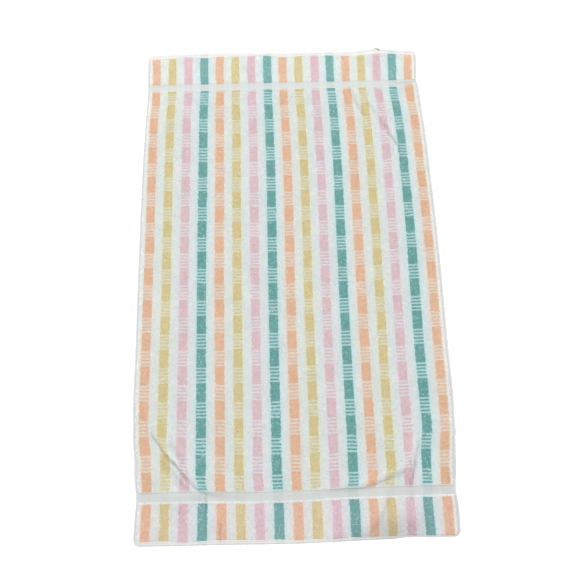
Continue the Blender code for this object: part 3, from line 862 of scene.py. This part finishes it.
def newPiece(name, places, faces, smooth=True):
    mesh = bpy.data.meshes.new(name)
    mesh.from_pydata([tuple(place) for place in places], [], faces)
    mesh.update()
    if smooth:
        mesh.shade_smooth()
    piece = bpy.data.objects.new(name, mesh)
    scene.collection.objects.link(piece)
    return piece


def newTube(name, rings, material):
    # a closed piece round a row of sections; each ring is the row of one of their corners
    count, corners = len(rings[0]), len(rings)
    faces = []
    for j in range(count - 1):
        for i in range(corners):
            a, b = j * corners + i, j * corners + (i + 1) % corners
            faces.append((a, b, b + corners, a + corners))
    faces.append(tuple(range(corners)))
    faces.append(tuple((count - 1) * corners + i for i in reversed(range(corners))))
    piece = newPiece(name, np.stack(rings, 1).reshape(-1, 3), faces)
    shape = bmesh.new()
    shape.from_mesh(piece.data)
    bmesh.ops.recalc_face_normals(shape, faces=shape.faces)
    shape.to_mesh(piece.data)
    shape.free()
    piece.data.materials.append(material)
    return piece


def setPoints(mesh, **layers):
    # stores numbers, vectors or colours on the mesh's points, by how many columns they have
    kinds = {1: ("FLOAT", "value"), 3: ("FLOAT_VECTOR", "vector"), 4: ("FLOAT_COLOR", "color")}
    for name, values in layers.items():
        kind, key = kinds[values.shape[1] if values.ndim > 1 else 1]
        layer = mesh.attributes.new(name, kind, "POINT")
        layer.data.foreach_set(key, np.asarray(values, np.float32).ravel())


def setBakeMap(mesh, perVertex):
    vertices = np.empty(len(mesh.loops), np.int32)
    mesh.loops.foreach_get("vertex_index", vertices)
    layer = mesh.uv_layers.new(name="OFBake", do_init=False)
    layer.uv.foreach_set("vector", np.asarray(perVertex, np.float32)[vertices].ravel())


# The hems' shape, which the pile keeps clear of

sides = ("left", "right", "top", "bottom")
hems = {
    # stripe, then how far in from the edge each hem shows there, mm
    "width": {
        "left": ((0, 5.2), (16, 5.2)),
        "right": ((0, 5.4), (16, 5.4)),
        "top": ((0, 12.7), (1, 12.0), (2, 9.8), (3, 12.8), (4, 10.4), (5, 10.9), (6, 8.8), (7, 8.8),
                (8, 12.6), (9, 11.4), (10, 10.2), (12, 12.5), (13.4, 15.2), (14.3, 14.4), (15, 12.0),
                (16, 13.6)),
        "bottom": ((0, 6.6), (1, 7.8), (2, 5.0), (3, 6.8), (5, 7.6), (6, 6.8), (7, 7.2), (8, 5.6), (9, 6.0),
                   (10, 4.2), (11, 5.8), (12, 4.6), (13, 4.2), (14, 2.8), (15, 3.0), (16, 2.6)),
    },
    "overhang": {"left": 1.2 * mm, "right": 1.2 * mm, "top": 0.2 * mm, "bottom": 0.8 * mm},
    "stitchLine": {"left": 3.3 * mm, "right": 3.5 * mm, "top": 7.8 * mm, "bottom": 3.6 * mm},
    "grooveDepth": {"left": 1.5 * mm, "right": 1.5 * mm, "top": 0.3 * mm, "bottom": 0.7 * mm},
    "grooveShare": 0.66,          # of the width, the furthest in that the groove of the stitches may lie
    # painted shade: how light a hem is painted, its inner part, that groove and its outer part
    "shade": {"left": (0.81, 0.69, 0.75), "right": (0.80, 0.66, 0.74), "top": (0.85, 0.82, 0.80),
              "bottom": (0.78, 0.76, 0.79)},
    # how far each of the section's corners is in the groove and takes its painted shade, and how many of
    # them are the inner part
    "seamShares": (0, 0, 0.1, 0.7, 1.0, 0.6, 0.1, 0, 0, 0, 0, 0, 0),
    "innerCorners": 5,
    "lowerPaintedLight": 0.05,           # painted light: the side hems are painted this much lighter towards their lower ends, against the lamp's falloff
    "spacing": 1.5 * mm,          # between sections
    # how far from the cloth's corners the sections begin and end
    "endGap": {"left": 3.2 * mm, "right": 3.2 * mm, "top": 0.8 * mm, "bottom": 0.8 * mm},
    "bandDip": 0.2,               # share of a side hem's height that it loses beside the flat bands
    "bandEase": 3 * mm,
    "pucker": 0.42 * mm,
    "puckerPitch": 10.5 * mm,
    "puckerWaves": ((1.0, 0.5), (0.77, 0.4), (0.41, 0.3), (1.6, 0.25)),     # how close, and how strong
    "scallop": 0.45 * mm,
    "height": 3.6 * mm,
    "leastHeight": 0.05 * mm,     # above the cloth's underside
    "cornerTuck": 2.2,            # in corner radii: the larger, the less a hem narrows at a corner
    "clearance": 0.5 * mm,        # between a hem and the first loops
    "seed": 23,
}


def upright(side):
    # true of the two hems that run down the cloth
    return side in ("left", "right")


def hemWidth(side, across):
    stripes, widths = zip(*hems["width"][side])
    return between([acrossOf(stripe) for stripe in stripes], [width * mm for width in widths], across)


def fromEnds(down):
    return np.minimum(down - cloth["topEdge"], cloth["bottomEdge"] - down)


def insideHems(across, down):
    # true where a loop stands clear of every hem
    half = cloth["halfWidth"] - edgeInset(fromEnds(down))
    inset = edgeInset(cloth["halfWidth"] - np.abs(across))
    inwards = {"left": across + half, "right": half - across, "top": down - cloth["topEdge"] - inset,
               "bottom": cloth["bottomEdge"] - down - inset}
    return np.all([inwards[side] > hemWidth(side, across) + hems["clearance"] for side in sides], axis=0)


# The ground cloth

ground = {
    "sideMargin": 2.6 * mm,       # its edge lies inside the hems
    "endMargin": 1.6 * mm,
    "columnSpacing": 6.2 * mm,
    "rowSpacing": 6.0 * mm,
    "bandRowSpacing": 3.0 * mm,
    # stripes between which the columns stand closer, for a pressed line, and their spacing there
    "closeColumns": (2.95, 3.45, 1.5 * mm),
    # share of the bake map's width where the front and the back start, and how much of it each takes
    "bakeStarts": (0.008, 0.508),
    "bakeWidth": 0.484,
}


def groundRows():
    rows = []
    for name, _, kind in cloth["sections"]:
        start, end = sectionSpan(name)
        start = start + ground["endMargin"] if name == "topHem" else start + cloth["step"] / 2
        end = end - ground["endMargin"] if name == "bottomHem" else end - cloth["step"] / 2
        spacing = ground["bandRowSpacing"] if kind == "flat" else ground["rowSpacing"]
        rows.extend(np.linspace(start, end, max(2, math.ceil((end - start) / spacing) + 1)))
    return np.array(rows)


def groundColumns(half):
    start, end, spacing = ground["closeColumns"]
    close = np.arange(acrossOf(start), acrossOf(end), spacing)
    columns = np.linspace(-half, half, math.ceil(2 * half / ground["columnSpacing"]) + 1)
    clear = np.abs(columns - close.mean()) > np.ptp(close) / 2 + mm
    return np.sort(np.concatenate([columns[clear], close]))


def makeGround():
    half = cloth["halfWidth"] - ground["sideMargin"]
    columns, rows = groundColumns(half), groundRows()
    wide, high = len(columns), len(rows)
    across, down = (grid.ravel() for grid in np.meshgrid(columns, rows))
    across = across * (1 - edgeInset(fromEnds(down)) / half)     # round corners
    below = laid(across, down)
    above = below + np.stack([0 * down, 0 * down, topThickness(down)], 1)
    count = wide * high
    faces = []
    for j in range(high - 1):
        for i in range(wide - 1):
            a, b = j * wide + i, (j + 1) * wide + i
            faces.append((b, b + 1, a + 1, a))
    backs = [tuple(count + k for k in reversed(face)) for face in faces]
    rim = [*range(wide), *((j + 1) * wide - 1 for j in range(1, high)),
           *((high - 1) * wide + i for i in range(wide - 2, -1, -1)),
           *(j * wide for j in range(high - 2, 0, -1))]
    walls = [(a, b, count + b, count + a) for a, b in zip(rim, rim[1:] + rim[:1])]
    piece = newPiece("groundCloth", np.vstack([above, below]), faces + backs + walls)
    mesh = piece.data
    # the cloth's place in the pattern, and its painted shade, painted light and marks
    setPoints(mesh, clothPlace=np.tile(patternPlace(across, down), (2, 1)),
              tone=np.tile(toneAt(across, down), 2))
    shareAcross = (across / cloth["halfWidth"] + 1) / 2
    shareDown = 1 - (down - cloth["topEdge"]) / (cloth["bottomEdge"] - cloth["topEdge"])
    columns = [start + ground["bakeWidth"] * shareAcross for start in ground["bakeStarts"]]
    setBakeMap(mesh, np.vstack([np.stack([column, shareDown], 1) for column in columns]))
    mesh.materials.append(materials["ground"])
    mesh.materials.append(materials["reverse"])
    slots = np.zeros(len(mesh.polygons), np.int32)
    slots[len(faces):2 * len(faces)] = 1
    mesh.polygons.foreach_set("material_index", slots)
    print("ground cloth:", wide, "by", high, "places")
    return piece


groundCloth = makeGround()


# The pile: rows of small loops, in one piece for each dyed yarn and three for the white

pile = {
    "acrossPitch": 36 / 14 * mm,
    "downPitch": 69 / 40 * mm,
    "rowShift": 0.25,             # of the pitch, to and fro from row to row
    "loopWidth": 1.95 * mm,       # half sizes of a loop's foot, and its height
    "loopLength": 1.40 * mm,
    "loopHeight": 2.0 * mm,
    "sunk": 0.35 * mm,
    "turn": 24.0,                 # degrees
    "lean": 13.0,
    "sizeSpread": 0.18,
    "jitter": (0.34 * mm, 0.6),   # across, and how much of that down
    "edgeJitter": 0.22 * mm,      # how ragged a stripe's edges are
    "shadeSpread": (0.015, 0.035),          # how unevenly light the white loops are, and the dyed ones
    "shadeLimit": 0.2,
    # how much less dye the palest loops hold, and how few are that pale
    "dyeSpread": {"orange": 0.50, "yellow": 0.60, "pink": 0.60, "teal": 0.65},
    "dyePower": 8,
    "edgeLight": 0.06,            # how much lighter the white strips along the side hems are
    "edgeStrip": (10 * mm, 5 * mm),         # how wide they are, and how softly they end
    "borderLight": 0.045,         # how much lighter the top border is
    "endRowsPaintedLight": 0.06,             # painted light: how much lighter the rows of both borders that stand beside a flat band are painted
    "topEndRows": 5 * mm,         # how deep those rows are in the top border
    "bottomEndRows": 3.5 * mm,    # and in the bottom one
    "endRise": (-0.45, 0.12),     # how much taller those rows are, in the top border and in the bottom one
    "proudLoops": 0.03,           # share of loops that stand a little proud and catch the light
    "proudPaintedLight": 0.06,           # painted highlight: how much lighter they are painted
    "proudSize": 1.2,             # how many times as large
    "napLean": 0.16,              # how far the nap is brushed this way and that, in patches
    "napPatch": (9 * mm, 42 * mm),
    "napWaves": 40,
    "pieceReach": 0.36,           # of the pitch, how far from its stripe a yarn's piece reaches
    "seed": 11,
}


def loopPlaces():
    draw = np.random.default_rng(pile["seed"])
    reach = math.floor(cloth["halfWidth"] / pile["acrossPitch"])
    columns = np.arange(-reach, reach + 1)
    allAcross, allDown = [], []
    for first, last in (("topHem", "topBorder"), ("body", "body"), ("bottomBorder", "bottomHem")):
        start, end = sectionSpan(first)[0], sectionSpan(last)[1]
        rows = round((end - start) / pile["downPitch"])
        for k in range(rows):
            places = (columns + pile["rowShift"] * (1 if k % 2 else -1)) * pile["acrossPitch"]
            allAcross.append(places)
            allDown.append(np.full(len(places), start + (k + 0.5) * (end - start) / rows))
    across, down = np.concatenate(allAcross), np.concatenate(allDown)
    jitter, downShare = pile["jitter"]
    across = across + draw.uniform(-1, 1, len(across)) * jitter
    down = down + draw.uniform(-downShare, downShare, len(down)) * jitter
    clear = insideHems(across, down)
    return across[clear], down[clear]


def napAt(across, down):
    # which way the nap is brushed: soft patches of random size
    draw = np.random.default_rng(pile["seed"] + 2)
    lean = np.zeros((len(across), 2))
    for _ in range(pile["napWaves"]):
        angle, phase, turn = draw.uniform(0, math.tau, 3)
        swing = rolling(across, down, angle, phase, draw.uniform(*pile["napPatch"]))
        lean += np.outer(swing, (math.cos(turn), math.sin(turn)))
    return np.hstack([lean * pile["napLean"] / math.sqrt(pile["napWaves"] / 2), np.zeros((len(across), 1))])


def pointValue(tree, name, kind="FLOAT_VECTOR"):
    return valueOf(tree, "GeometryNodeInputNamedAttribute", {"Name": name}, data_type=kind)


def spreadOut(tree, given, result, shape, facing, size):
    # one copy of a shape on every point, made real and given its material
    copies = valueOf(tree, "GeometryNodeInstanceOnPoints",
                     {"Points": given["Geometry"], "Instance": shape, "Rotation": facing, "Scale": size})
    real = valueOf(tree, "GeometryNodeRealizeInstances", {0: copies})
    painted = valueOf(tree, "GeometryNodeSetMaterial", {"Geometry": real, "Material": given["Material"]})
    tree.links.new(painted, result[0])


def buildLoopTree():
    # one small closed loop on every point, turned and leaning at random about the cloth's own up
    tree, given, result = newTree(
        "Geometry", "loopPile",
        {"Geometry": "Geometry", "Loop Width": "Float", "Loop Length": "Float", "Loop Height": "Float",
         "Turn": "Float", "Lean": "Float", "Size Spread": "Float", "Seed": "Int", "Material": "Material"},
        {"Geometry": "Geometry"})
    make, calc = partial(valueOf, tree), partial(maths, tree)
    loop = make("GeometryNodeMeshCone",
                {"Vertices": 4, "Radius Top": 0.0, "Radius Bottom": 1.0, "Depth": 1.0}, fill_type="NGON")
    stand = make("FunctionNodeAlignRotationToVector", {"Vector": pointValue(tree, "up")}, axis="Z")
    leanBack = calc("MULTIPLY", given["Lean"], -1.0)
    least = joined(tree, leanBack, leanBack, calc("MULTIPLY", given["Turn"], -1.0))
    most = joined(tree, given["Lean"], given["Lean"], given["Turn"])
    turn = make("FunctionNodeRandomValue", {0: least, 1: most, "Seed": given["Seed"]},
                data_type="FLOAT_VECTOR")
    tilt = make("FunctionNodeEulerToRotation", {0: turn})
    facing = make("FunctionNodeRotateRotation", {0: stand, 1: tilt}, rotation_space="LOCAL")
    small, large = (calc(way, 1.0, given["Size Spread"]) for way in ("SUBTRACT", "ADD"))
    seed = make("FunctionNodeIntegerMath", {0: given["Seed"], 1: 1}, operation="ADD")
    sizes = make("FunctionNodeRandomValue", {0: small, 1: large, "Seed": seed}, data_type="FLOAT_VECTOR")
    base = joined(tree, given["Loop Width"], given["Loop Length"], given["Loop Height"])
    sizes = make("ShaderNodeVectorMath", {0: sizes, 1: base}, operation="MULTIPLY")
    sizes = scaled(tree, sizes, pointValue(tree, "proud", "FLOAT"))
    spreadOut(tree, given, result, loop, facing, sizes)
    return tree


def grow(name, tree, places, onPoints, values, dropped):
    # runs a geometry tree on points with these values on them, and keeps the result as a plain mesh
    points = newPiece(name + "Points", places, [], smooth=False)
    setPoints(points.data, **onPoints)
    modifier = points.modifiers.new("grow", "NODES")
    modifier.node_group = tree
    for item in tree.interface.items_tree:
        if item.in_out == "INPUT" and item.name in values:
            modifier[item.identifier] = values[item.name]
    depsgraph = bpy.context.evaluated_depsgraph_get()
    mesh = bpy.data.meshes.new_from_object(points.evaluated_get(depsgraph))
    bpy.data.objects.remove(points, do_unlink=True)
    mesh.name = name
    for key in dropped:
        mesh.attributes.remove(mesh.attributes[key])
    mesh.shade_smooth()
    piece = bpy.data.objects.new(name, mesh)
    scene.collection.objects.link(piece)
    return piece


def loopCorners(mesh):
    # where a loop's five corners go in its cell: four round the edge and the tip in the middle
    tip = int(np.argmax([mesh.vertices[k].co[2] for k in range(5)]))
    ring = iter(((0.1, 0.1), (0.9, 0.1), (0.9, 0.9), (0.1, 0.9)))
    return [(0.5, 0.5) if k == tip else next(ring) for k in range(5)]


def cellMap(count, corners):
    # each loop's own cell on the bake map, so that no two loops share a colour
    side = math.ceil(math.sqrt(count))
    cell = np.stack([np.arange(count) % side, np.arange(count) // side], 1)
    return ((cell[:, None] + np.asarray(corners)[None]) / side).reshape(-1, 2)


loopTree = buildLoopTree()


def loopLooks(place, across, down):
    # each loop's colour, with painted light and painted shade in it, and how much larger than the others it
    # is
    draw = np.random.default_rng(pile["seed"] + 1)
    count = len(across)
    stray = draw.normal(0, pile["edgeJitter"], count)
    dyed, bleed, kind = dyedShare(place[:, 0] + stray, place[:, 1])
    dyed = dyed * (1 - ofKind(pile["dyeSpread"], kind) * draw.random(count) ** pile["dyePower"])
    proudOnes = draw.random(count) < pile["proudLoops"]
    spread = np.where(dyed > 0, pile["shadeSpread"][1], pile["shadeSpread"][0])
    shade = 1 + np.clip(draw.normal(0, spread), -pile["shadeLimit"], pile["shadeLimit"])
    # painted highlight on the loops that stand proud
    shade += pile["proudPaintedLight"] * proudOnes
    bandTop, bandEnd = sectionSpan("topBand")[0], sectionSpan("bottomBand")[1]
    firstRows = (down > bandEnd) & (down < bandEnd + pile["bottomEndRows"])
    lastRows = np.where(down < bandTop, 1 - smoothStep((bandTop - down) / pile["topEndRows"]), 0)
    strip, ease = pile["edgeStrip"]
    fromSide = cloth["halfWidth"] - np.abs(across)
    shade = shade * (1 + pile["edgeLight"] * (1 - smoothStep((fromSide - strip) / ease)))
    # painted light on the rows beside the flat bands, then the painted shade, painted light and marks of the
    # patches and lines
    shade = shade * (1 + pile["borderLight"] * (down < bandTop) + pile["endRowsPaintedLight"] * (firstRows + lastRows))
    shade = (shade * toneAt(across, down))[:, None]
    shade = shade * np.where((down > bandEnd)[:, None], pattern["borderTint"], 1.0)
    white = np.array(yarns["white"][:3])
    dye, tint = ofKind(yarns, kind)[:, :3], ofKind(bleeds, kind)
    colour = (white + (dye - white) * dyed[:, None]) * (1 + (tint - 1) * bleed[:, None]) * shade
    size = np.where(proudOnes, pile["proudSize"], 1.0)
    size = size * (1 + pile["endRise"][0] * lastRows + pile["endRise"][1] * firstRows)
    return np.hstack([np.clip(colour, 0, 1), np.ones((count, 1))]), size


def pileGroups(place, across):
    # which loops go into which piece
    nearest, off = nearestStripe(place[:, 0])
    near = off < pile["pieceReach"]
    groups = {name: near & (nearest % len(stripeOrder) == k) for k, name in enumerate(stripeOrder)}
    third = cloth["halfWidth"] / 3
    groups["whiteLeft"] = ~near & (across < -third)
    groups["whiteMiddle"] = ~near & (np.abs(across) <= third)
    groups["whiteRight"] = ~near & (across > third)
    return groups


def makePile():
    across, down = loopPlaces()
    root, up = upAt(across, down)
    root[:, 2] += topThickness(down) - pile["sunk"]
    up = up + napAt(across, down)
    place = patternPlace(across, down)
    colour, size = loopLooks(place, across, down)
    onLoops = {"up": up, "clothPlace": place, "loopColour": colour, "proud": size}
    values = {"Loop Width": pile["loopWidth"], "Loop Length": pile["loopLength"],
              "Loop Height": pile["loopHeight"], "Turn": math.radians(pile["turn"]),
              "Lean": math.radians(pile["lean"]), "Size Spread": pile["sizeSpread"]}
    pieces = []
    for number, (name, chosen) in enumerate(pileGroups(place, across).items()):
        values["Seed"] = pile["seed"] + 10 * number
        values["Material"] = materials["white" if name.startswith("white") else name]
        here = {key: rows[chosen] for key, rows in onLoops.items()}
        piece = grow(name + "Pile", loopTree, root[chosen], here, values, ("up", "proud"))
        for layer in list(piece.data.uv_layers):
            piece.data.uv_layers.remove(layer)
        count = int(chosen.sum())
        setBakeMap(piece.data, cellMap(count, loopCorners(piece.data)))
        pieces.append(piece)
        print(piece.name, count, "loops")
    return pieces


pilePieces = makePile()


# The turned hems

def hemPlace(side, along, inwards):
    # cloth place of a point this far in from the straight edge of a hem
    if side == "left":
        return -cloth["halfWidth"] + inwards, along
    if side == "right":
        return cloth["halfWidth"] - inwards, along
    if side == "top":
        return along, cloth["topEdge"] + inwards
    return along, cloth["bottomEdge"] - inwards


def hemRun(side, gap, spacing):
    # places along a hem from one end to the other, and the hem's width there
    half, top, bottom = cloth["halfWidth"], cloth["topEdge"], cloth["bottomEdge"]
    start, end = (top, bottom) if upright(side) else (-half, half)
    along = np.arange(start + gap, end - gap, spacing)
    return along, hemWidth(side, 0 * along if upright(side) else along)


def puckerAt(side, along):
    draw = np.random.default_rng(hems["seed"] + sides.index(side))
    total = np.zeros(len(along))
    for share, weight in hems["puckerWaves"]:
        phase = draw.uniform(0, math.tau)
        total += weight * np.sin(math.tau * along / (hems["puckerPitch"] / share) + phase)
    return total


def hemSection(side, along, width):
    # round the hem's section from its inner foot over the top: how far in and how high each corner is
    stitch = hems["stitchLine"][side]
    groove = np.minimum(stitch, hems["grooveShare"] * width)
    deep = smoothStep((width - stitch - 0.3 * mm) / mm) * hems["grooveDepth"][side]
    # lower where the hem is narrow
    tall = hems["height"] * (0.7 + 0.3 * smoothStep((width - 2.5 * mm) / (2.5 * mm)))
    pucker = puckerAt(side, along)
    puff = hems["pucker"] * pucker
    out = hems["overhang"][side] + hems["scallop"] * np.clip(pucker, -1, 1) * 0.5
    ease = np.minimum(0.8 * mm, 0.3 * groove)
    flat = 0 * width
    return (
        (width + 0.2 * mm, 0.6 * mm + flat),
        (width, 0.72 * tall),
        (np.maximum(groove + ease, 0.86 * width), 0.92 * tall - 0.3 * deep),
        (groove + 0.55 * ease, 0.96 * tall - 0.75 * deep + 0.2 * puff),
        (groove, 0.96 * tall - deep),
        (groove - 0.6 * ease, 0.97 * tall - 0.6 * deep + 0.5 * puff),
        (groove - ease, 0.99 * tall - 0.15 * deep + puff),
        (0.36 * (groove - ease), tall + puff - 0.1 * mm),
        (0.10 * groove - 0.7 * out, 0.78 * tall + 0.5 * puff),
        (-out, 0.36 * tall),
        (0.3 * mm - out, 0.25 * mm + flat),
        (0.4 * width, 0.05 * mm + flat),
        (0.8 * width, 0.05 * mm + flat),
    )


def makeHem(side):
    along, width = hemRun(side, hems["endGap"][side], hems["spacing"])
    inset = edgeInset(fromEnds(along) if upright(side) else cloth["halfWidth"] - np.abs(along))
    tuck = 1 - inset / (cloth["cornerRadius"] * hems["cornerTuck"])
    dip = hems["bandDip"] * inBands(along, hems["bandEase"]) * upright(side)
    inner, seam, outer = hems["shade"][side]
    rings, places, shades, around = [], [], [], []
    for k, (inwards, height) in enumerate(hemSection(side, along, width)):
        across, down = hemPlace(side, along, inset + inwards * tuck)
        ring = laid(across, down)
        ring[:, 2] += np.maximum(height, hems["leastHeight"]) * (1 - dip)
        rings.append(ring)
        places.append(patternPlace(across, down))
        # each corner's painted shade: by the hem's part and the groove, with painted light towards the side
        # hems' lower ends, times the patches and lines
        whole = inner if k < hems["innerCorners"] else outer
        lower = hems["lowerPaintedLight"] * np.clip(down / cloth["bottomEdge"], 0, 1) * upright(side)
        shades.append(toneAt(across, down) * (1 + lower) * (whole + (seam - whole) * hems["seamShares"][k]))
        around.append(np.stack([along, np.full(len(along), k * finish["hemPitch"]), 0 * along], 1))
    piece = newTube(side + "Hem", rings, materials["hem"])
    setPoints(piece.data, clothPlace=np.stack(places, 1).reshape(-1, 3),
              hemPlace=np.stack(around, 1).reshape(-1, 3), hemShade=np.stack(shades, 1).ravel())
    return piece


hemPieces = [makeHem(side) for side in sides]
print("hems:", sum(len(piece.data.polygons) for piece in hemPieces), "faces")


# Sewing along the hems

sewing = {
    "pitch": 3.4 * mm,
    "length": 2.6 * mm,
    "thickness": 0.42 * mm,
    "sizes": (0.86, 1.14),
    "lift": 1.75 * mm,            # above the cloth's underside
    "fromCorner": 9 * mm,
    "seed": 31,
}


def buildStitchTree():
    # one short stitch on every point, along its own direction
    tree, given, result = newTree(
        "Geometry", "hemStitches",
        {"Geometry": "Geometry", "Length": "Float", "Thickness": "Float", "Smallest": "Float",
         "Largest": "Float", "Seed": "Int", "Material": "Material"}, {"Geometry": "Geometry"})
    bead = valueOf(tree, "GeometryNodeMeshIcoSphere", {"Radius": 0.5, "Subdivisions": 1})
    along = pointValue(tree, "along")
    facing = valueOf(tree, "FunctionNodeAlignRotationToVector", {"Vector": along}, axis="X")
    inputs = {2: given["Smallest"], 3: given["Largest"], "Seed": given["Seed"]}
    vary = addNode(tree, "FunctionNodeRandomValue", inputs, data_type="FLOAT").outputs[1]
    size = scaled(tree, joined(tree, given["Length"], given["Thickness"], given["Thickness"]), vary)
    spreadOut(tree, given, result, bead, facing, size)
    return tree


def makeStitches():
    places, directions = [], []
    for side in sides:
        along, width = hemRun(side, sewing["fromCorner"], sewing["pitch"])
        inwards = np.minimum(hems["stitchLine"][side], hems["grooveShare"] * width)
        here = laid(*hemPlace(side, along, inwards))
        after = laid(*hemPlace(side, along + 1 * mm, inwards))
        directions.append((after - here) / mm)
        here[:, 2] += sewing["lift"]
        places.append(here)
    values = {"Length": sewing["length"], "Thickness": sewing["thickness"], "Smallest": sewing["sizes"][0],
              "Largest": sewing["sizes"][1], "Seed": sewing["seed"], "Material": materials["thread"]}
    onStitches = {"along": np.vstack(directions)}
    piece = grow("hemStitches", buildStitchTree(), np.vstack(places), onStitches, values, ("along",))
    print("stitches:", sum(map(len, places)))
    return piece


stitches = makeStitches()


# The loose end of thread at the top hem

looseEnd = {
    "points": ((13.84, -1.462, 4.6), (13.92, -1.435, 5.2), (14.0, -1.408, 5.5), (14.1, -1.39, 5.3),
               (14.16, -1.362, 4.9), (14.21, -1.325, 4.6)),     # stripe, period, mm above the underside
    "thickness": 1.2 * mm,
    "pointSpacing": 0.8 * mm,
    "corners": 6,
    "taper": (0.15, 0.4),         # how blunt its ends are, and how quickly it thins towards them
}


def makeLooseEnd():
    rows = np.array(looseEnd["points"])
    places = laid(acrossOf(rows[:, 0]), rows[:, 1] * cloth["blockPeriod"])
    places[:, 2] += rows[:, 2] * mm
    centre = curveThrough(places, looseEnd["pointSpacing"])
    ways = np.gradient(centre, axis=0)
    ways /= np.linalg.norm(ways, axis=1)[:, None]
    across = np.cross(ways, (0, 0, 1.0))
    across /= np.linalg.norm(across, axis=1)[:, None]
    over = np.cross(across, ways)
    blunt, power = looseEnd["taper"]
    radius = looseEnd["thickness"] / 2 * np.sin(np.linspace(blunt, math.pi - blunt, len(centre))) ** power
    rings = []
    for k in range(looseEnd["corners"]):
        angle = math.tau * k / looseEnd["corners"]
        rings.append(centre + (across * math.cos(angle) + over * math.sin(angle)) * radius[:, None])
    return newTube("looseThread", rings, materials["looseThread"])


looseThread = makeLooseEnd()


# The floor

def makeFloor():
    size, drop = studio["floorReach"], -studio["floorDrop"]
    corners = [(-size, -size, drop), (size, -size, drop), (size, size, drop), (-size, size, drop)]
    floor = newPiece("paleFloor", corners, [(0, 1, 2, 3)], smooth=False)
    material, tree, shader = newMaterial("paleFloor", roughness=0.95, sheen=0.0, specular=0.0)
    light = (*studio["floorColour"], 1.0)
    lighter = tuple(part * 1.01 for part in light[:3]) + (1.0,)
    cloudy = mixColours(tree, noiseIn(tree, objectPlace(tree), 3.0), light, lighter)
    tree.links.new(cloudy, shader.inputs["Base Color"])
    shader.inputs["Emission Color"].default_value = (1.0, 1.0, 1.0, 1.0)
    shader.inputs["Emission Strength"].default_value = studio["floorGlow"]
    floor.data.materials.append(material)


makeFloor()
print("floor is down")


# Every piece of the towel lies with its one body

standsFor = [groundCloth, *pilePieces, *hemPieces]
trimmings = [stitches, looseThread]
for piece in standsFor + trimmings:
    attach(piece, "root")
for piece in standsFor:
    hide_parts("bath_towel")

total = sum(len(face.vertices) - 2 for piece in standsFor + trimmings for face in piece.data.polygons)
print("triangles in all:", total)
